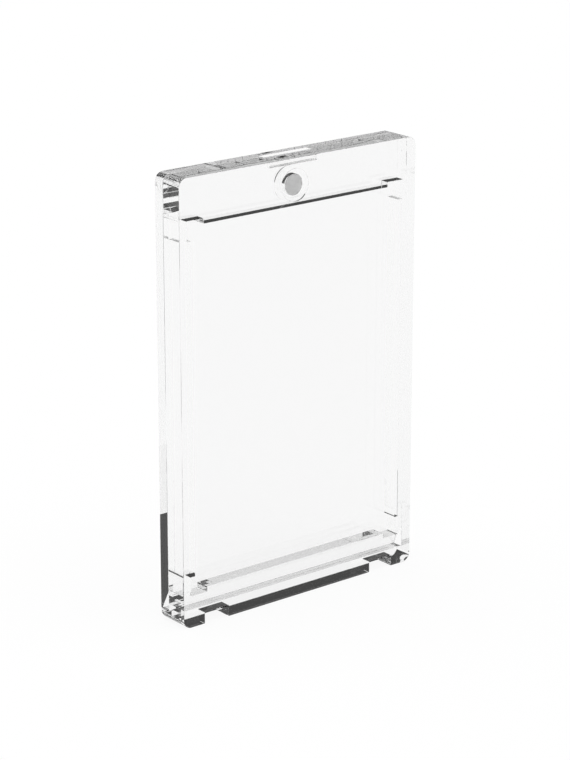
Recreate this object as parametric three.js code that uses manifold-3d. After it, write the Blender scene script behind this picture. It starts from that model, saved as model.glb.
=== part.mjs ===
// Clear two-part display case for one trading card, held shut by a pair of small disc magnets.
// Millimetres, +Z up. The case stands on its lower edge with its front face towards -Y.
// The origin is the middle of the rectangle that the case covers on the table.
import * as THREE from 'three';
import { mergeVertices } from 'three/addons/utils/BufferGeometryUtils.js';
import Module from 'manifold-3d';

const wasm = await Module();
wasm.setup();

// Outer size of the closed case
const caseWidth = 73;
const caseHeight = 112.2;
const frontThickness = 6.17;
const rearThickness = 3.15;
const partingGap = 0.03;
const outerCornerRadius = 2.25;

// Card well, sunk into the front cover from the parting plane
const windowThickness = 2.1;
const wellWidth = 64.3;
const wellHeight = 91.3;
const lowerBarHeight = 8.9;

// Square relief at each corner of the well, so that a card's corners touch nothing
const reliefSide = 5;
const reliefReach = 1.32;

// Ledge along the front cover's foot, which the rear cover stands on
const ledgeHeight = 2.97;
const ledgeReach = 3.03;
const seatGap = 0.05;

// Notches in the front cover's lower edge
const notchWidth = 7.35;
const notchDepth = 5.1;
const notchSpacing = 52.95;

// Bevel on the rear cover's lower inner edge, above the land that rests on the ledge
const bevelHeight = 5.03;
const landWidth = 0.45;

// Pry slot across the parting line at the top, where a coin or a nail opens the case
const slotLength = 14.8;
const slotDepth = 1.3;
const slotFrontShareOfWidth = 0.52;
const slotWidth = 1.93;

// Magnets and the clear plugs that hold them
const magnetDiameter = 5.3;
const magnetThickness = 1;
const magnetDrop = 7.3;
const magnetFit = 0.05;
const plugDiameter = 8;
const plugThickness = 1.75;
const plugFit = 0.05;
const plugRecess = 0.02;

// Fineness of the round shapes, and how far a cutter passes the face that it opens
const cornerSteps = 12;
const roundSteps = 64;
const overrun = 1;

// Depths measured from the front face towards +Y
const partingDepth = frontThickness;
const rearInnerDepth = frontThickness + partingGap;
const caseThickness = rearInnerDepth + rearThickness;
const ledgeEndDepth = partingDepth + ledgeReach;
const magnetHeight = caseHeight - magnetDrop;
const rearFootHeight = ledgeHeight + seatGap;

// Turns a closed geometry into a solid that can be joined and cut.
function solidFrom(geometry) {
  const bare = geometry.clone();
  bare.deleteAttribute('normal');
  bare.deleteAttribute('uv');
  const merged = mergeVertices(bare, 1e-5);
  const mesh = new wasm.Mesh({
    numProp: 3,
    vertProperties: new Float32Array(merged.attributes.position.array),
    triVerts: new Uint32Array(merged.index.array),
  });
  return new wasm.Manifold(mesh);
}

// Turns a finished solid back into a flat-shaded geometry.
function geometryFrom(solid) {
  const mesh = solid.getMesh();
  const geometry = new THREE.BufferGeometry();
  const places = new Float32Array(mesh.vertProperties);
  geometry.setAttribute('position', new THREE.BufferAttribute(places, mesh.numProp));
  geometry.setIndex(new THREE.BufferAttribute(new Uint32Array(mesh.triVerts), 1));
  geometry.computeVertexNormals();
  return geometry;
}

// Rectangle with round corners, drawn across X and upwards in Z.
function roundedRectangle(width, bottom, top, radius) {
  const side = width / 2;
  const right = side - radius;
  const low = bottom + radius;
  const high = top - radius;
  const quarter = Math.PI / 2;
  const outline = new THREE.Shape();
  outline.moveTo(-right, bottom);
  outline.lineTo(right, bottom);
  outline.absarc(right, low, radius, -quarter, 0, false);
  outline.lineTo(side, high);
  outline.absarc(right, high, radius, 0, quarter, false);
  outline.lineTo(-right, top);
  outline.absarc(-right, high, radius, quarter, 2 * quarter, false);
  outline.lineTo(-side, low);
  outline.absarc(-right, low, radius, 2 * quarter, 3 * quarter, false);
  return outline;
}

// Plate with an outline in X and Z, from one depth to another.
function plate(outline, nearDepth, farDepth) {
  const geometry = new THREE.ExtrudeGeometry(outline, {
    depth: farDepth - nearDepth,
    bevelEnabled: false,
    curveSegments: cornerSteps,
  });
  geometry.rotateX(Math.PI / 2);
  geometry.translate(0, farDepth, 0);
  return solidFrom(geometry);
}

// Bar along X whose section is a list of [depth, height] points.
function bar(section, leftSide, rightSide) {
  const outline = new THREE.Shape(section.map(([depth, height]) => new THREE.Vector2(depth, height)));
  const geometry = new THREE.ExtrudeGeometry(outline, { depth: rightSide - leftSide, bevelEnabled: false });
  geometry.rotateX(Math.PI / 2);
  geometry.rotateZ(Math.PI / 2);
  geometry.translate(leftSide, 0, 0);
  return solidFrom(geometry);
}

// Round rod along Y at the magnets' height.
function magnetRod(diameter, nearDepth, farDepth) {
  const radius = diameter / 2;
  const geometry = new THREE.CylinderGeometry(radius, radius, farDepth - nearDepth, roundSteps);
  geometry.translate(0, (nearDepth + farDepth) / 2, magnetHeight);
  return solidFrom(geometry);
}

// The well's outline: a rectangle that steps outwards to a square relief at each corner.
function wellOutline() {
  const side = wellWidth / 2;
  const inner = side + reliefReach - reliefSide;
  const outer = side + reliefReach;
  const bottom = lowerBarHeight;
  const top = lowerBarHeight + wellHeight;
  const corner = [
    [inner, 0],
    [inner, -reliefReach],
    [outer, -reliefReach],
    [outer, reliefSide - reliefReach],
    [side, reliefSide - reliefReach],
  ];
  const lowerRight = corner.map(([across, rise]) => [across, bottom + rise]);
  const upperRight = corner.map(([across, rise]) => [across, top - rise]).reverse();
  const right = [...lowerRight, ...upperRight];
  const left = right.map(([across, height]) => [-across, height]).reverse();
  return new THREE.Shape([...right, ...left].map(([across, height]) => new THREE.Vector2(across, height)));
}

// Half of the pry slot, from one depth to another.
function slotCutter(nearDepth, farDepth) {
  const half = slotLength / 2;
  const outline = new THREE.Shape();
  outline.moveTo(-half, caseHeight - slotDepth);
  outline.lineTo(half, caseHeight - slotDepth);
  outline.lineTo(half, caseHeight + overrun);
  outline.lineTo(-half, caseHeight + overrun);
  return plate(outline, nearDepth, farDepth);
}

// Front half: window, frame, ledge, notches, slot and magnet pocket.
function makeFrontCover() {
  const outline = roundedRectangle(caseWidth, 0, caseHeight, outerCornerRadius);
  const half = caseWidth / 2 + overrun;
  let cover = plate(outline, 0, ledgeEndDepth);
  const aboveLedge = [
    [partingDepth, ledgeHeight],
    [ledgeEndDepth + overrun, ledgeHeight],
    [ledgeEndDepth + overrun, caseHeight + overrun],
    [partingDepth, caseHeight + overrun],
  ];
  cover = cover.subtract(bar(aboveLedge, -half, half));
  cover = cover.subtract(plate(wellOutline(), windowThickness, partingDepth + overrun));
  for (const side of [-1, 1]) {
    const centre = side * notchSpacing / 2;
    const notchSection = [
      [-overrun, -overrun],
      [notchDepth, -overrun],
      [notchDepth, ledgeHeight],
      [-overrun, ledgeHeight],
    ];
    cover = cover.subtract(bar(notchSection, centre - notchWidth / 2, centre + notchWidth / 2));
  }
  const slotFront = partingDepth - slotWidth * slotFrontShareOfWidth;
  cover = cover.subtract(slotCutter(slotFront, partingDepth + overrun));
  const pocketFloor = partingDepth - plugThickness - plugRecess - plugFit;
  return cover.subtract(magnetRod(plugDiameter + 2 * plugFit, pocketFloor, partingDepth + overrun));
}

// Rear half: flat plate with a bevelled foot, its half of the slot and the second pocket.
function makeRearCover() {
  let cover = plate(
    roundedRectangle(caseWidth, 0, caseHeight, outerCornerRadius), rearInnerDepth, caseThickness);
  const landDepth = ledgeEndDepth - landWidth;
  const bevelSlope = bevelHeight / (landDepth - rearInnerDepth);
  const footSection = [
    [rearInnerDepth - overrun, -overrun],
    [caseThickness + overrun, -overrun],
    [caseThickness + overrun, rearFootHeight],
    [landDepth, rearFootHeight],
    [rearInnerDepth - overrun, rearFootHeight + bevelHeight + bevelSlope * overrun],
  ];
  const half = caseWidth / 2 + overrun;
  cover = cover.subtract(bar(footSection, -half, half));
  const slotBack = partingDepth + slotWidth * (1 - slotFrontShareOfWidth);
  cover = cover.subtract(slotCutter(rearInnerDepth - overrun, slotBack));
  const pocketFloor = rearInnerDepth + plugThickness + plugRecess + plugFit;
  return cover.subtract(magnetRod(plugDiameter + 2 * plugFit, rearInnerDepth - overrun, pocketFloor));
}

// Clear plug that fills a pocket and holds the magnet in a blind bore at the parting plane.
function makePlug(nearDepth, farDepth, boreNear, boreFar) {
  const plug = magnetRod(plugDiameter, nearDepth, farDepth);
  return plug.subtract(magnetRod(magnetDiameter + 2 * magnetFit, boreNear, boreFar));
}

function makeFrontPlug() {
  const mouth = partingDepth - plugRecess;
  const boreFloor = mouth - magnetThickness - magnetFit;
  return makePlug(mouth - plugThickness, mouth, boreFloor, mouth + overrun);
}

function makeRearPlug() {
  const mouth = rearInnerDepth + plugRecess;
  const boreFloor = mouth + magnetThickness + magnetFit;
  return makePlug(mouth, mouth + plugThickness, mouth - overrun, boreFloor);
}

const clearPlastic = new THREE.MeshStandardMaterial({
  color: 0xf4f8f8, roughness: 0.04, metalness: 0, transparent: true, opacity: 0.3,
});
const clearFiller = new THREE.MeshStandardMaterial({
  color: 0xeef2f2, roughness: 0.08, metalness: 0, transparent: true, opacity: 0.35,
});
const platedMagnet = new THREE.MeshStandardMaterial({
  color: 0xc4c6c8, roughness: 0.3, metalness: 0.9,
});

function named(name, solid, material) {
  const mesh = new THREE.Mesh(geometryFrom(solid), material);
  mesh.name = name;
  return mesh;
}

const frontHalf = new THREE.Group();
frontHalf.add(named('front_cover', makeFrontCover(), clearPlastic));
frontHalf.add(named('front_magnet_plug', makeFrontPlug(), clearFiller));
const frontMagnetNear = partingDepth - plugRecess - magnetThickness;
const frontMagnet = magnetRod(magnetDiameter, frontMagnetNear, frontMagnetNear + magnetThickness);
frontHalf.add(named('front_magnet', frontMagnet, platedMagnet));

const rearHalf = new THREE.Group();
rearHalf.add(named('rear_cover', makeRearCover(), clearPlastic));
rearHalf.add(named('rear_magnet_plug', makeRearPlug(), clearFiller));
const rearMagnetNear = rearInnerDepth + plugRecess;
const rearMagnet = magnetRod(magnetDiameter, rearMagnetNear, rearMagnetNear + magnetThickness);
rearHalf.add(named('rear_magnet', rearMagnet, platedMagnet));

const cardHolder = new THREE.Group();
cardHolder.add(frontHalf, rearHalf);
cardHolder.position.y = -caseThickness / 2;

export default cardHolder;
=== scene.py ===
"""Dresses a clear two-part card case: polished plastic halves, cast magnet plugs and plated magnets.

Metres, +Z up, front window towards -Y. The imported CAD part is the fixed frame, and each piece
here rides on one of its two bodies.
"""

import math

import bpy
import numpy as np
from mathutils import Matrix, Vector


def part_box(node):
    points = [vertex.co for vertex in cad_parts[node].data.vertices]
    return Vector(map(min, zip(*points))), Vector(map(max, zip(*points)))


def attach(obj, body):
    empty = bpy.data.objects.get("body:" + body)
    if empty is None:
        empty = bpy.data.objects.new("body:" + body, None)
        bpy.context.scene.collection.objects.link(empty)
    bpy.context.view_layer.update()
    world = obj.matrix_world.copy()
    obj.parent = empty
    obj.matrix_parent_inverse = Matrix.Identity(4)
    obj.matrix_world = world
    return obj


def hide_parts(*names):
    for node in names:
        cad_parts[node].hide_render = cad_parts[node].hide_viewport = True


bl_info = {
    "name": "Magnetic card case",
    "version": (1, 0, 0),
    "blender": (4, 5, 0),
    "location": "3D View > Sidebar > Card case",
    "description": "Builds the clear halves, plugs and magnets of a card display case",
    "category": "Object",
}

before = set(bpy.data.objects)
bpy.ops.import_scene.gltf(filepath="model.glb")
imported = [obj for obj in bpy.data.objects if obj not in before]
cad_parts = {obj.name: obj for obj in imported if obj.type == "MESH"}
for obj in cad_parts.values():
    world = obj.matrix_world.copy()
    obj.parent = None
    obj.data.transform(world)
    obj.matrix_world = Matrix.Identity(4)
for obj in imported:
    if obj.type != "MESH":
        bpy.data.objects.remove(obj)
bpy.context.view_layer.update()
FRONT_LOW, FRONT_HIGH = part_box("front_cover")
REAR_LOW, REAR_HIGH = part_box("rear_cover")
PLUG_LOW, PLUG_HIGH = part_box("front_magnet_plug")
REAR_PLUG_LOW, REAR_PLUG_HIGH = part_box("rear_magnet_plug")
MAGNET_LOW, MAGNET_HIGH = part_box("front_magnet")
REAR_MAGNET_LOW, REAR_MAGNET_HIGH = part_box("rear_magnet")

FRONT_BODY = "front_half"
REAR_BODY = "rear_half"

# How far a cutter passes the face that it opens
OVERRUN = 0.001

# Steps of round shapes: an outer corner, a full turn, a magnet's rim and a polished edge
CORNER_STEPS = 40
ROUND_STEPS = 128
RIM_STEPS = 6
POLISH_STEPS = 2

# Edges whose faces meet at more than this angle are polished
SHARP_ANGLE = math.radians(20)

# Arcs of the air film in each half: first and last angle in degrees, and reach in metres.
# The least share is how long a film stays at its ends, as a share of its first arc's reach.
FILM_STEPS = 144
FILM_LEAST_SHARE = 0.04
FRONT_FILM_ARCS = ((-175, 175, 0.00018), (-130, 45, 0.0006))
REAR_FILM_ARCS = ((60, 260, 0.0003), (90, 190, 0.0006))

# Fine relief of each surface: noise scale and detail, strength, and height in metres
FLOW_WAVES = {"scale": 55.0, "detail": 1.0, "strength": 0.01, "height": 0.00002}
FILLER_WAVES = {"scale": 900.0, "detail": 2.0, "strength": 0.1, "height": 0.00001}
GRINDING = {"scale": 9000.0, "detail": 2.0, "strength": 0.15, "height": 0.000004}

# Patches on the plating, and how far tone and gloss drift in them as a share of their means
PATCH_SCALE = 700.0
PATCH_DETAIL = 3.0
TONE_DRIFT = 0.2
GLOSS_DRIFT = 0.15

# Rays that show the floor and the world as plain white
SIGHT_RAYS = ("Is Camera Ray", "Is Glossy Ray", "Is Transmission Ray")

# Stage: canopy mesh, lamp height and turn in degrees, sun disc, camera and light paths
CANOPY_TURNS = 96
CANOPY_RISES = 32
KEY_DIRECTION = (72, 35)
FILL_DIRECTION = (68, -120)
SUN_DISC = math.radians(50)
SENSOR_WIDTH = 36.0
NEAR_CLIP = 0.01
LIGHT_BOUNCES = 160


def length(name, text, default):
    """A size property in metres, with the description that the panel shows."""
    return bpy.props.FloatProperty(
        name=name, description=text, default=default, min=0.0, unit="LENGTH", precision=5
    )


def share(name, text, default):
    """A plain number between 0 and 1."""
    return bpy.props.FloatProperty(
        name=name, description=text, default=default, min=0.0, max=1.0, subtype="FACTOR"
    )


def amount(name, text, default, low=0.0, high=1000.0):
    """A plain number between a low and a high limit."""
    return bpy.props.FloatProperty(
        name=name, description=text, default=default, min=low, max=high, precision=3
    )


def angle(name, text, default):
    """An angle in radians, which the panel shows in degrees."""
    return bpy.props.FloatProperty(name=name, description=text, default=default, unit="ROTATION")


def colour(name, text, default):
    """A linear colour property."""
    return bpy.props.FloatVectorProperty(
        name=name, description=text, default=default, size=3, subtype="COLOR", min=0.0, max=1.0
    )


class FrontSizes(bpy.types.PropertyGroup):
    """Sizes of the thick front half."""

    parting_depth: length("Parting depth", "Thickness of the front half", 0.00617)
    corner_radius: length("Corner radius", "Radius of the case's outer corners", 0.00225)
    window: length("Window", "Thickness of the window in front of the card", 0.0021)
    well_width: length("Well width", "Width of the card well", 0.0643)
    well_height: length("Well height", "Height of the card well", 0.0913)
    lower_bar: length("Lower bar", "Height of the solid bar under the well", 0.0089)
    relief_side: length("Relief side", "Side of the square relief at each well corner", 0.005)
    relief_reach: length("Relief reach", "How far a relief steps out of the well", 0.00132)
    ledge_height: length("Ledge height", "Height of the ledge under the rear half", 0.00297)
    notch_width: length("Notch width", "Width of each notch in the lower edge", 0.00735)
    notch_depth: length("Notch depth", "Depth of each notch from the front face", 0.0051)
    notch_spacing: length("Notch spacing", "Distance between the notches' middles", 0.05295)
    edge: length("Edge radius", "Radius of the polished edges", 0.00009)


class RearSizes(bpy.types.PropertyGroup):
    """Sizes of the thin rear half."""

    bevel_height: length("Bevel height", "Height of the bevel on the lower inner edge", 0.00503)
    land_width: length("Land width", "Width of the land that rests on the ledge", 0.00045)
    edge: length("Edge radius", "Radius of the polished edges", 0.00009)


class SlotSizes(bpy.types.PropertyGroup):
    """Sizes of the pry slot across the parting line."""

    length: length("Length", "Length of the slot along the top edge", 0.0148)
    depth: length("Depth", "Depth of the slot below the top edge", 0.0023)
    front_width: length("Front width", "Width of the slot in the front half", 0.001)
    rear_width: length("Rear width", "Width of the slot behind the parting plane", 0.00093)


class MagnetSizes(bpy.types.PropertyGroup):
    """Sizes of the magnets, of the plugs round them and of the air beside both."""

    edge: length("Magnet edge", "Radius of the plated edge", 0.00012)
    bore_gap: length("Bore gap", "Air between a magnet and the wall of its bore", 0.00004)
    plug_clearance: length("Plug clearance", "How far a plug stands back from the bore", 0.00002)
    film: length("Film", "Thickness of the air film trapped round each plug", 0.00004)
    front_film_radius: length("Front film radius", "Radius of the front plug's film", 0.00405)
    rear_film_radius: length("Rear film radius", "Radius of the rear plug's film", 0.0043)
    front_film_depth: length("Front film depth", "Front film's middle behind the face", 0.0041)
    rear_film_depth: length("Rear film depth", "Rear film's middle behind the face", 0.0087)
    plug_index: amount("Plug index", "Index of the filler beside the plastic's", 1.002, 1.0, 1.5)


class Finishes(bpy.types.PropertyGroup):
    """Colours and finishes of the case."""

    clear: colour("Clear plastic", "Tint of the clear halves", (0.967, 0.967, 0.967))
    index: amount("Refractive index", "Index of the clear plastic", 1.49, 1.0, 2.0)
    depth_tint: colour("Depth tint", "What the plastic takes on over a long path", (0.83, 0.83, 0.83))
    density: amount("Density", "How fast the depth tint builds up, per metre", 3.0)
    plating: colour("Plating", "Colour of the plated magnets", (0.50, 0.50, 0.50))
    plating_roughness: share("Plating roughness", "Mean roughness of the plating", 0.11)


class StageSizes(bpy.types.PropertyGroup):
    """Camera, floor and light."""

    camera_place: bpy.props.FloatVectorProperty(
        name="Camera", description="Place of the camera", size=3, subtype="TRANSLATION",
        default=(-0.391167, -0.480029, 0.254312),
    )
    camera_yaw: angle("Yaw", "Turn of the view to the right of +Y", 0.682228)
    camera_pitch: angle("Pitch", "Fall of the view below the horizon", 0.311097)
    camera_lens: bpy.props.FloatProperty(
        name="Lens", description="Focal length on a 36 mm sensor", default=125.24, unit="CAMERA"
    )
    floor_side: length("Floor side", "Side of the pale floor", 8.0)
    floor_gap: length("Floor gap", "Air between the floor and the case's foot", 0.00004)
    floor_colour: colour("Floor", "Colour of the floor", (0.9, 0.9, 0.9))
    floor_glow: share("Floor glow", "Share of plain white in what the eye sees of it", 0.92)
    canopy_radius: length("Canopy radius", "Radius of the dark canopy over the set", 3.0)
    canopy_foot: angle("Canopy foot", "Height of the canopy's rim above the horizon", 0.045)
    canopy_low: share("Canopy rim", "Brightness of the canopy near its rim", 0.012)
    canopy_high: share("Canopy top", "Brightness of the canopy straight above", 0.03)
    ambient: share("Ambient", "Soft light that the floor takes from all round", 0.5)
    key_strength: amount("Key lamp", "Strength of the main soft sun", 1.35)
    fill_strength: amount("Fill lamp", "Strength of the second soft sun", 0.73)


GROUPS = {
    "case_front": FrontSizes,
    "case_rear": RearSizes,
    "case_slot": SlotSizes,
    "case_magnets": MagnetSizes,
    "case_finishes": Finishes,
    "case_stage": StageSizes,
}


def settings(name):
    """One of the scene's property groups."""
    return getattr(bpy.context.scene, name)


def rounded_rectangle(width, bottom, top, radius):
    """Outline in X and Z: four quarter arcs, each corner centre plus radius times (cos, sin)."""
    quarter = np.linspace(0.0, math.pi / 2, CORNER_STEPS + 1)
    side = width / 2 - radius
    low, high = bottom + radius, top - radius
    centres = np.array([[side, high], [-side, high], [-side, low], [side, low]])
    angles = quarter[None, :] + np.arange(4)[:, None] * math.pi / 2
    arcs = centres[:, None, :] + radius * np.stack([np.cos(angles), np.sin(angles)], axis=-1)
    return arcs.reshape(-1, 2)


def rectangle(left, right, bottom, top):
    """Four corners in order, anticlockwise seen with the first axis to the right."""
    return np.array([[left, bottom], [right, bottom], [right, top], [left, top]])


def well_outline(sizes):
    """Outline of the card well: a rectangle that steps out to a square relief at each corner.

    Five points describe one corner, and the others are its mirror images in X and in height."""
    side = sizes.well_width / 2
    inner = side + sizes.relief_reach - sizes.relief_side
    outer = side + sizes.relief_reach
    rise = sizes.relief_side - sizes.relief_reach
    corner = np.array(
        [
            [inner, 0.0],
            [inner, -sizes.relief_reach],
            [outer, -sizes.relief_reach],
            [outer, rise],
            [side, rise],
        ]
    )
    lower = corner + [0.0, sizes.lower_bar]
    upper = (corner * [1.0, -1.0] + [0.0, sizes.lower_bar + sizes.well_height])[::-1]
    right = np.concatenate([lower, upper])
    return np.concatenate([right, (right * [-1.0, 1.0])[::-1]])


def add_object(name, points, faces):
    """Object in the scene, from an array of points and a list of faces as runs of point numbers."""
    data = bpy.data.meshes.new(name)
    data.from_pydata(points.tolist(), [], faces)
    data.validate()
    data.update()
    added = bpy.data.objects.new(name, data)
    bpy.context.scene.collection.objects.link(added)
    return added


def outward(piece):
    """Turns every face of a closed mesh outwards by the sign of its volume.

    The volume is a sixth of the sum of each fan triangle's a . (b x c)."""
    data = piece.data
    data.calc_loop_triangles()
    corners = np.empty(len(data.loop_triangles) * 3, dtype=np.int32)
    data.loop_triangles.foreach_get("vertices", corners)
    points = np.empty(len(data.vertices) * 3)
    data.vertices.foreach_get("co", points)
    a, b, c = np.moveaxis(points.reshape(-1, 3)[corners.reshape(-1, 3)], 1, 0)
    if np.einsum("ij,ij->", a, np.cross(b, c)) < 0:
        data.flip_normals()


def closed_solid(name, points, faces):
    """Object of a closed mesh whose faces all point outwards."""
    solid = add_object(name, points, faces)
    outward(solid)
    return solid


def grid_quads(number):
    """Four-sided faces between the rows of a grid of point numbers whose rows are closed rings."""
    after = np.roll(number, -1, axis=1)
    return np.stack([number[:-1], after[:-1], after[1:], number[1:]], axis=-1).reshape(-1, 4)


def prism(name, outline, near, far, along=1):
    """Closed prism: the outline at two depths, joined point by point round its edge.

    With along 1 the outline is in X and Z and the depth is Y. With along 0 the outline is in
    Y and Z and the depth is X."""
    count = len(outline)
    depths = np.repeat([near, far], count)
    twice = np.concatenate([outline, outline])
    points = np.insert(twice, along, depths, axis=1)
    ring = np.arange(count)
    after = np.roll(ring, -1)
    sides = np.stack([ring, after, after + count, ring + count], axis=1)
    faces = [ring[::-1].tolist(), (ring + count).tolist(), *sides.tolist()]
    return closed_solid(name, points, faces)


def revolved(name, profile, centre_height):
    """Solid of revolution about a line along Y.

    A profile point (radius, depth) at angle t goes to (radius cos t, depth, height + radius
    sin t). The profile starts and ends on the axis, where one point closes each end."""
    profile = np.asarray(profile)
    rim = profile[1:-1]
    angles = np.arange(ROUND_STEPS) * 2 * math.pi / ROUND_STEPS
    radius, depth = rim[:, 0][:, None], rim[:, 1][:, None]
    grid = np.stack(
        [
            radius * np.cos(angles),
            np.broadcast_to(depth, (len(rim), ROUND_STEPS)),
            centre_height + radius * np.sin(angles),
        ],
        axis=-1,
    ).reshape(-1, 3)
    ends = np.array([[0.0, profile[0, 1], centre_height], [0.0, profile[-1, 1], centre_height]])
    points = np.concatenate([grid, ends])
    number = np.arange(len(rim) * ROUND_STEPS).reshape(len(rim), ROUND_STEPS)
    start, end = number[0], number[-1]
    first = np.stack([np.roll(start, -1), start, np.full(ROUND_STEPS, len(grid))], axis=-1)
    last = np.stack([end, np.roll(end, -1), np.full(ROUND_STEPS, len(grid) + 1)], axis=-1)
    faces = [*grid_quads(number).tolist(), *first.tolist(), *last.tolist()]
    return closed_solid(name, points, faces)


def air_film(radius, thickness, middle, centre_height, arcs):
    """Crescent of air trapped round a plug. An arc is a first and a last angle and a reach.

    At angle t the section is a rectangle from the radius outwards by the thickness. Along Y it is
    as long as the largest of the arcs' reach times sin(pi s), where s runs from 0 to 1 over that
    arc. The first arc is the whole film, and the others swell it."""
    start, end, thin = arcs[0]
    turn = np.linspace(start, end, FILM_STEPS + 1)[:, None]
    first, last, reach = np.array(arcs).T
    along = np.clip((turn - first) / (last - first), 0.0, 1.0)
    reaches = np.max(reach * np.sin(math.pi * along), axis=1, keepdims=True)
    half = np.maximum(reaches, thin * FILM_LEAST_SHARE) / 2
    turn = np.radians(turn)
    radii = radius + thickness * np.array([[0.0, 1.0, 1.0, 0.0]])
    sides = np.array([[-1.0, -1.0, 1.0, 1.0]])
    points = np.stack(
        [
            radii * np.cos(turn),
            middle + sides * half,
            centre_height + radii * np.sin(turn),
        ],
        axis=-1,
    ).reshape(-1, 3)
    number = np.arange(len(points)).reshape(FILM_STEPS + 1, 4)
    faces = [*grid_quads(number).tolist(), number[0][::-1].tolist(), number[-1].tolist()]
    return closed_solid("film", points, faces)


def magnet_room(back, mouth, film_radius, film_depth, film_arcs):
    """Cutters for a magnet's bore and for the air film round its plug."""
    sizes = settings("case_magnets")
    centre = (PLUG_HIGH.z + PLUG_LOW.z) / 2
    bore = (MAGNET_HIGH.x - MAGNET_LOW.x) / 2 + sizes.bore_gap
    room = revolved("bore", [(0.0, back), (bore, back), (bore, mouth), (0.0, mouth)], centre)
    film = air_film(film_radius, sizes.film, FRONT_LOW.y + film_depth, centre, film_arcs)
    return [room, film]


def settle_modifiers(piece):
    """Writes the result of a piece's modifiers into its mesh."""
    bpy.context.view_layer.update()
    graph = bpy.context.evaluated_depsgraph_get()
    data = bpy.data.meshes.new_from_object(piece.evaluated_get(graph))
    old = piece.data
    piece.modifiers.clear()
    piece.data = data
    bpy.data.meshes.remove(old)


def cut_away(piece, cutters):
    """Cuts each cutter out of the piece and deletes the cutter."""
    for cutter in cutters:
        step = piece.modifiers.new("cut", "BOOLEAN")
        step.operation = "DIFFERENCE"
        step.solver = "EXACT"
        step.object = cutter
        settle_modifiers(piece)
        data = cutter.data
        bpy.data.objects.remove(cutter)
        bpy.data.meshes.remove(data)


def polish_edges(piece, radius):
    """Rounds every sharp edge by the polishing radius."""
    step = piece.modifiers.new("polish", "BEVEL")
    step.width = radius
    step.segments = POLISH_STEPS
    step.limit_method = "ANGLE"
    step.angle_limit = SHARP_ANGLE
    step.use_clamp_overlap = True
    settle_modifiers(piece)
    outward(piece)


def finish_piece(piece, material, body, slot, *nodes):
    """Gives a piece its material and its body, and hides the CAD nodes that it stands for. The slot
    is not used.
    """
    piece.data.materials.clear()
    piece.data.materials.append(material)
    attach(piece, body)
    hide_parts(*nodes)


def new_material(name):
    """A node material, with its tree and its Principled shader."""
    material = bpy.data.materials.new(name)
    material.use_nodes = True
    tree = material.node_tree
    return material, tree, tree.nodes["Principled BSDF"]


def object_noise(tree, scale, detail):
    """Noise on the piece's own coordinates."""
    place = tree.nodes.new("ShaderNodeTexCoord")
    noise = tree.nodes.new("ShaderNodeTexNoise")
    noise.inputs["Scale"].default_value = scale
    noise.inputs["Detail"].default_value = detail
    tree.links.new(place.outputs["Object"], noise.inputs["Vector"])
    return noise


def relief(tree, shader, scale, detail, strength, height):
    """Feeds a noise into the shader's normal as a height."""
    noise = object_noise(tree, scale, detail)
    bump = tree.nodes.new("ShaderNodeBump")
    bump.inputs["Strength"].default_value = strength
    bump.inputs["Distance"].default_value = height
    tree.links.new(noise.outputs["Fac"], bump.inputs["Height"])
    tree.links.new(bump.outputs["Normal"], shader.inputs["Normal"])


def polished_plastic():
    """Moulded clear plastic: a smooth body with faint flow waves and a tint that grows with depth."""
    finish = settings("case_finishes")
    material, tree, shader = new_material("polished_plastic")
    shader.inputs["Base Color"].default_value = (*finish.clear, 1.0)
    shader.inputs["Roughness"].default_value = 0.0
    shader.inputs["IOR"].default_value = finish.index
    shader.inputs["Transmission Weight"].default_value = 1.0
    absorption = tree.nodes.new("ShaderNodeVolumeAbsorption")
    absorption.inputs["Color"].default_value = (*finish.depth_tint, 1.0)
    absorption.inputs["Density"].default_value = finish.density
    tree.links.new(absorption.outputs["Volume"], tree.nodes["Material Output"].inputs["Volume"])
    relief(tree, shader, **FLOW_WAVES)
    return material


def cast_filler():
    """Clear filler cast into the plastic: its index is given beside the plastic's own."""
    material, tree, shader = new_material("cast_filler")
    shader.inputs["Base Color"].default_value = (1.0, 1.0, 1.0, 1.0)
    shader.inputs["Roughness"].default_value = 0.0
    shader.inputs["IOR"].default_value = settings("case_magnets").plug_index
    shader.inputs["Transmission Weight"].default_value = 1.0
    relief(tree, shader, **FILLER_WAVES)
    return material


def magnet_plating():
    """Bright plating: a tone and a gloss that drift over the face, and fine grinding marks."""
    finish = settings("case_finishes")
    material, tree, shader = new_material("magnet_plating")
    shader.inputs["Metallic"].default_value = 1.0
    patches = object_noise(tree, PATCH_SCALE, PATCH_DETAIL)
    mottle = tree.nodes.new("ShaderNodeMix")
    mottle.data_type = "RGBA"
    darker = [tone * (1 - TONE_DRIFT) for tone in finish.plating]
    lighter = [tone * (1 + TONE_DRIFT) for tone in finish.plating]
    mottle.inputs["A"].default_value = (*darker, 1.0)
    mottle.inputs["B"].default_value = (*lighter, 1.0)
    tree.links.new(patches.outputs["Fac"], mottle.inputs["Factor"])
    tree.links.new(mottle.outputs["Result"], shader.inputs["Base Color"])
    spread = tree.nodes.new("ShaderNodeMapRange")
    spread.inputs["To Min"].default_value = finish.plating_roughness * (1 - GLOSS_DRIFT)
    spread.inputs["To Max"].default_value = finish.plating_roughness * (1 + GLOSS_DRIFT)
    tree.links.new(patches.outputs["Fac"], spread.inputs["Value"])
    tree.links.new(spread.outputs["Result"], shader.inputs["Roughness"])
    relief(tree, shader, **GRINDING)
    return material


def material_of(make):
    """The material that a function makes under the function's own name, made once."""
    return bpy.data.materials.get(make.__name__) or make()


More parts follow.
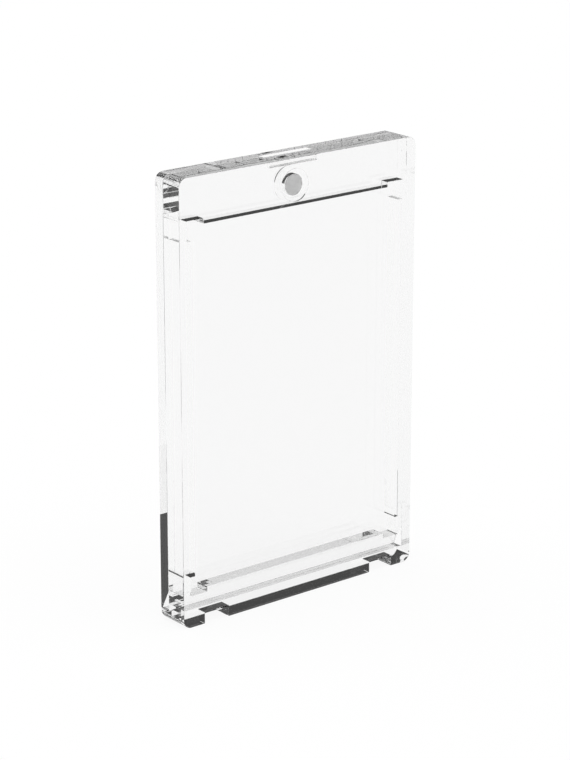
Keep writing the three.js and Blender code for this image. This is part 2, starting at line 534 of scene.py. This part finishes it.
class CASE_OT_front_half(bpy.types.Operator):
    """Builds the thick clear front half with its card well, notches, ledge and slot"""

    bl_idname = "case.front_half"
    bl_label = "Front half"

    def execute(self, context):
        sizes, slot = settings("case_front"), settings("case_slot")
        face = FRONT_LOW.y
        parting = face + sizes.parting_depth
        width, height, rear = FRONT_HIGH.x - FRONT_LOW.x, FRONT_HIGH.z, FRONT_HIGH.y
        half = width / 2 + OVERRUN
        shell = prism(
            "front_shell", rounded_rectangle(width, 0.0, height, sizes.corner_radius), face, rear
        )
        above_ledge = rectangle(parting, rear + OVERRUN, sizes.ledge_height, height + OVERRUN)
        cutters = [
            prism("above_ledge", above_ledge, -half, half, along=0),
            prism("well", well_outline(sizes), face + sizes.window, parting + OVERRUN),
            prism(
                "slot",
                rectangle(-slot.length / 2, slot.length / 2, height - slot.depth, height + OVERRUN),
                parting - slot.front_width,
                parting + OVERRUN,
            ),
        ]
        for side in (-1, 1):
            middle = side * sizes.notch_spacing / 2
            outline = rectangle(
                middle - sizes.notch_width / 2,
                middle + sizes.notch_width / 2,
                -OVERRUN,
                sizes.ledge_height,
            )
            cutters.append(prism("notch", outline, face - OVERRUN, face + sizes.notch_depth))
        cut_away(shell, cutters)
        polish_edges(shell, sizes.edge)
        magnets = settings("case_magnets")
        room = magnet_room(
            MAGNET_LOW.y - magnets.bore_gap,
            parting + OVERRUN,
            magnets.front_film_radius,
            magnets.front_film_depth,
            FRONT_FILM_ARCS,
        )
        cut_away(shell, room)
        finish_piece(shell, material_of(polished_plastic), FRONT_BODY, "clear_acrylic", "front_cover")
        return {"FINISHED"}


class CASE_OT_rear_half(bpy.types.Operator):
    """Builds the thin clear rear half with its bevelled foot and its part of the slot"""

    bl_idname = "case.rear_half"
    bl_label = "Rear half"

    def execute(self, context):
        sizes, front, slot = settings("case_rear"), settings("case_front"), settings("case_slot")
        inner, outer = REAR_LOW.y, REAR_HIGH.y
        foot, top = REAR_LOW.z, REAR_HIGH.z
        width = REAR_HIGH.x - REAR_LOW.x
        half = width / 2 + OVERRUN
        shell = prism(
            "rear_shell", rounded_rectangle(width, 0.0, top, front.corner_radius), inner, outer
        )
        land = FRONT_HIGH.y - sizes.land_width
        slope = sizes.bevel_height / (land - inner)
        below = np.array(
            [
                [inner - OVERRUN, -OVERRUN],
                [outer + OVERRUN, -OVERRUN],
                [outer + OVERRUN, foot],
                [land, foot],
                [inner - OVERRUN, foot + sizes.bevel_height + slope * OVERRUN],
            ]
        )
        parting = FRONT_LOW.y + front.parting_depth
        slot_outline = rectangle(
            -slot.length / 2, slot.length / 2, top - slot.depth, top + OVERRUN
        )
        cutters = [
            prism("below", below, -half, half, along=0),
            prism("slot", slot_outline, inner - OVERRUN, parting + slot.rear_width),
        ]
        cut_away(shell, cutters)
        polish_edges(shell, sizes.edge)
        magnets = settings("case_magnets")
        room = magnet_room(
            REAR_MAGNET_HIGH.y + magnets.bore_gap,
            inner - OVERRUN,
            magnets.rear_film_radius,
            magnets.rear_film_depth,
            REAR_FILM_ARCS,
        )
        cut_away(shell, room)
        finish_piece(shell, material_of(polished_plastic), REAR_BODY, "clear_acrylic", "rear_cover")
        return {"FINISHED"}


def plug_profile(radius, bore, back, mouth, floor):
    """Cup from its closed back to its mouth and down its bore, as (radius, depth) points."""
    return [(0.0, back), (radius, back), (radius, mouth), (bore, mouth), (bore, floor), (0.0, floor)]


class CASE_OT_plugs(bpy.types.Operator):
    """Builds the clear filler round each magnet"""

    bl_idname = "case.plugs"
    bl_label = "Magnet plugs"

    def execute(self, context):
        sizes = settings("case_magnets")
        radius = (PLUG_HIGH.x - PLUG_LOW.x) / 2
        centre = (PLUG_HIGH.z + PLUG_LOW.z) / 2
        gap = sizes.bore_gap + sizes.plug_clearance
        bore = (MAGNET_HIGH.x - MAGNET_LOW.x) / 2 + gap
        front = plug_profile(radius, bore, PLUG_LOW.y, PLUG_HIGH.y, MAGNET_LOW.y - gap)
        rear = plug_profile(
            radius, bore, REAR_PLUG_HIGH.y, REAR_PLUG_LOW.y, REAR_MAGNET_HIGH.y + gap
        )
        for name, profile, body in (("front", front, FRONT_BODY), ("rear", rear, REAR_BODY)):
            plug = revolved(f"{name}_plug", profile, centre)
            node = f"{name}_magnet_plug"
            finish_piece(plug, material_of(cast_filler), body, "clear_filler", node)
        return {"FINISHED"}


def disc_profile(radius, near, far, edge):
    """Half section of a disc whose rims are quarter arcs of the edge radius."""
    turn = np.linspace(0.0, math.pi / 2, RIM_STEPS + 1)
    inner = radius - edge
    near_rim = np.stack([inner + edge * np.sin(turn), near + edge - edge * np.cos(turn)], axis=1)
    far_rim = np.stack([inner + edge * np.cos(turn), far - edge + edge * np.sin(turn)], axis=1)
    return np.concatenate([[[0.0, near]], near_rim, far_rim, [[0.0, far]]])


class CASE_OT_magnets(bpy.types.Operator):
    """Builds the two plated disc magnets"""

    bl_idname = "case.magnets"
    bl_label = "Magnets"

    def execute(self, context):
        sizes = settings("case_magnets")
        for node, low, high, body in (
            ("front_magnet", MAGNET_LOW, MAGNET_HIGH, FRONT_BODY),
            ("rear_magnet", REAR_MAGNET_LOW, REAR_MAGNET_HIGH, REAR_BODY),
        ):
            profile = disc_profile((high.x - low.x) / 2, low.y, high.y, sizes.edge)
            disc = revolved(f"{node}_disc", profile, (low.z + high.z) / 2)
            finish_piece(disc, material_of(magnet_plating), body, "plated_magnet", node)
        return {"FINISHED"}


def sight_share(tree, weight):
    """A number that is weight for the rays of sight and 0 for all others."""
    path = tree.nodes.new("ShaderNodeLightPath")
    total = path.outputs[SIGHT_RAYS[0]]
    for name in SIGHT_RAYS[1:]:
        either = tree.nodes.new("ShaderNodeMath")
        either.operation = "MAXIMUM"
        tree.links.new(total, either.inputs[0])
        tree.links.new(path.outputs[name], either.inputs[1])
        total = either.outputs[0]
    scaled = tree.nodes.new("ShaderNodeMath")
    scaled.operation = "MULTIPLY"
    scaled.inputs[1].default_value = weight
    tree.links.new(total, scaled.inputs[0])
    return scaled.outputs[0]


def floor_material():
    """Pale floor that reads white to the eye and in reflections and still takes a soft shadow."""
    sizes = settings("case_stage")
    material, tree, shader = new_material("pale_floor")
    shader.inputs["Base Color"].default_value = (*sizes.floor_colour, 1.0)
    shader.inputs["Roughness"].default_value = 1.0
    shader.inputs["Specular IOR Level"].default_value = 0.0
    glow = tree.nodes.new("ShaderNodeEmission")
    mix = tree.nodes.new("ShaderNodeMixShader")
    tree.links.new(sight_share(tree, sizes.floor_glow), mix.inputs[0])
    tree.links.new(shader.outputs[0], mix.inputs[1])
    tree.links.new(glow.outputs[0], mix.inputs[2])
    tree.links.new(mix.outputs[0], tree.nodes["Material Output"].inputs["Surface"])
    return material


def make_floor():
    """Square pale floor just under the case."""
    sizes = settings("case_stage")
    side = sizes.floor_side / 2
    points = np.insert(rectangle(-side, side, -side, side), 2, -sizes.floor_gap, axis=1)
    floor = add_object("floor", points, [[0, 1, 2, 3]])
    floor.data.materials.append(floor_material())


def make_world():
    """World that is white to the eye, to metal and to glass, and lights the rest softly."""
    sizes = settings("case_stage")
    world = bpy.data.worlds.new("studio")
    bpy.context.scene.world = world
    world.use_nodes = True
    tree = world.node_tree
    soft = tree.nodes["Background"]
    output = tree.nodes["World Output"]
    white = tree.nodes.new("ShaderNodeBackground")
    mix = tree.nodes.new("ShaderNodeMixShader")
    soft.inputs["Color"].default_value = (*[sizes.ambient] * 3, 1.0)
    white.inputs["Color"].default_value = (1.0, 1.0, 1.0, 1.0)
    tree.links.new(sight_share(tree, 1.0), mix.inputs[0])
    tree.links.new(soft.outputs[0], mix.inputs[1])
    tree.links.new(white.outputs[0], mix.inputs[2])
    tree.links.new(mix.outputs[0], output.inputs["Surface"])


def canopy_cloth():
    """Dim cloth that grows a little lighter with height."""
    sizes = settings("case_stage")
    material, tree, shader = new_material("canopy_cloth")
    tree.nodes.remove(shader)
    place = tree.nodes.new("ShaderNodeTexCoord")
    split = tree.nodes.new("ShaderNodeSeparateXYZ")
    rise = tree.nodes.new("ShaderNodeMapRange")
    glow = tree.nodes.new("ShaderNodeEmission")
    rise.inputs["From Max"].default_value = sizes.canopy_radius
    rise.inputs["To Min"].default_value = sizes.canopy_low
    rise.inputs["To Max"].default_value = sizes.canopy_high
    tree.links.new(place.outputs["Object"], split.inputs[0])
    tree.links.new(split.outputs["Z"], rise.inputs["Value"])
    tree.links.new(rise.outputs["Result"], glow.inputs["Strength"])
    tree.links.new(glow.outputs[0], tree.nodes["Material Output"].inputs["Surface"])
    return material


def make_canopy():
    """Dark canopy that gives the clear plastic its dark edges.

    A point at turn t and rise e is the radius times (cos e cos t, cos e sin t, sin e), and one
    point closes the top. Only reflections and sight lines through the plastic see it."""
    sizes = settings("case_stage")
    turn = np.linspace(0.0, 2 * math.pi, CANOPY_TURNS, endpoint=False)[None, :]
    rise = np.linspace(sizes.canopy_foot, math.pi / 2, CANOPY_RISES, endpoint=False)[:, None]
    grid = np.stack(
        [
            np.cos(rise) * np.cos(turn),
            np.cos(rise) * np.sin(turn),
            np.sin(rise) * np.ones_like(turn),
        ],
        axis=-1,
    ).reshape(-1, 3)
    points = np.concatenate([grid, [[0.0, 0.0, 1.0]]]) * sizes.canopy_radius
    number = np.arange(len(grid)).reshape(CANOPY_RISES, CANOPY_TURNS)
    inward = grid_quads(number)[:, [0, 3, 2, 1]]
    top = number[-1]
    crown = np.stack([top, np.full(CANOPY_TURNS, len(grid)), np.roll(top, -1)], axis=-1)
    canopy = add_object("canopy", points, [*inward.tolist(), *crown.tolist()])
    canopy.data.materials.append(canopy_cloth())
    canopy.visible_camera = False
    canopy.visible_diffuse = False
    canopy.visible_shadow = False


def make_lamp(name, strength, direction):
    """Broad soft sun that lights the floor. The polished plastic doesn't mirror its disc."""
    elevation, azimuth = direction
    light = bpy.data.lights.new(name, "SUN")
    light.energy = strength
    light.angle = SUN_DISC
    lamp = bpy.data.objects.new(name, light)
    lamp.rotation_euler = (math.radians(90 - elevation), 0.0, math.radians(azimuth))
    lamp.visible_glossy = False
    lamp.visible_transmission = False
    bpy.context.scene.collection.objects.link(lamp)


def make_camera():
    """Camera at the photograph's viewing angle, with its yaw and pitch from the settings."""
    sizes = settings("case_stage")
    lens = bpy.data.cameras.new("camera")
    lens.lens = sizes.camera_lens
    lens.sensor_width = SENSOR_WIDTH
    lens.clip_start = NEAR_CLIP
    camera = bpy.data.objects.new("camera", lens)
    camera.location = sizes.camera_place
    camera.rotation_euler = (math.pi / 2 - sizes.camera_pitch, 0.0, -sizes.camera_yaw)
    bpy.context.scene.collection.objects.link(camera)
    bpy.context.scene.camera = camera


class CASE_OT_stage(bpy.types.Operator):
    """Sets the camera, the pale floor, the canopy, the world and the soft lamps"""

    bl_idname = "case.stage"
    bl_label = "Stage"

    def execute(self, context):
        scene = context.scene
        sizes = settings("case_stage")
        make_camera()
        make_floor()
        make_world()
        make_canopy()
        make_lamp("key_lamp", sizes.key_strength, KEY_DIRECTION)
        make_lamp("fill_lamp", sizes.fill_strength, FILL_DIRECTION)
        scene.view_settings.view_transform = "Standard"
        scene.cycles.max_bounces = LIGHT_BOUNCES
        scene.cycles.transmission_bounces = LIGHT_BOUNCES
        scene.cycles.glossy_bounces = LIGHT_BOUNCES
        return {"FINISHED"}


OPERATORS = (
    CASE_OT_front_half,
    CASE_OT_rear_half,
    CASE_OT_plugs,
    CASE_OT_magnets,
    CASE_OT_stage,
)


class CASE_PT_panel(bpy.types.Panel):
    """Lists the steps that build the case, and its sizes and finishes"""

    bl_idname = "CASE_PT_panel"
    bl_label = "Card case"
    bl_space_type = "VIEW_3D"
    bl_region_type = "UI"
    bl_category = "Card case"

    def draw(self, context):
        for operator in OPERATORS:
            self.layout.operator(operator.bl_idname)
        for name, group in GROUPS.items():
            box = self.layout.box()
            for key in group.__annotations__:
                box.prop(getattr(context.scene, name), key)


def register():
    """Adds the property groups, the operators and the panel to Blender."""
    for group in GROUPS.values():
        bpy.utils.register_class(group)
    for name, group in GROUPS.items():
        setattr(bpy.types.Scene, name, bpy.props.PointerProperty(type=group))
    for operator in OPERATORS:
        bpy.utils.register_class(operator)
    bpy.utils.register_class(CASE_PT_panel)


def unregister():
    """Takes away what register added, in the opposite order."""
    bpy.utils.unregister_class(CASE_PT_panel)
    for operator in reversed(OPERATORS):
        bpy.utils.unregister_class(operator)
    for name in GROUPS:
        delattr(bpy.types.Scene, name)
    for group in GROUPS.values():
        bpy.utils.unregister_class(group)


def main():
    """Builds the stage and every piece."""
    register()
    bpy.ops.case.stage()
    bpy.ops.case.front_half()
    bpy.ops.case.rear_half()
    bpy.ops.case.plugs()
    bpy.ops.case.magnets()


if __name__ == "__main__":
    main()
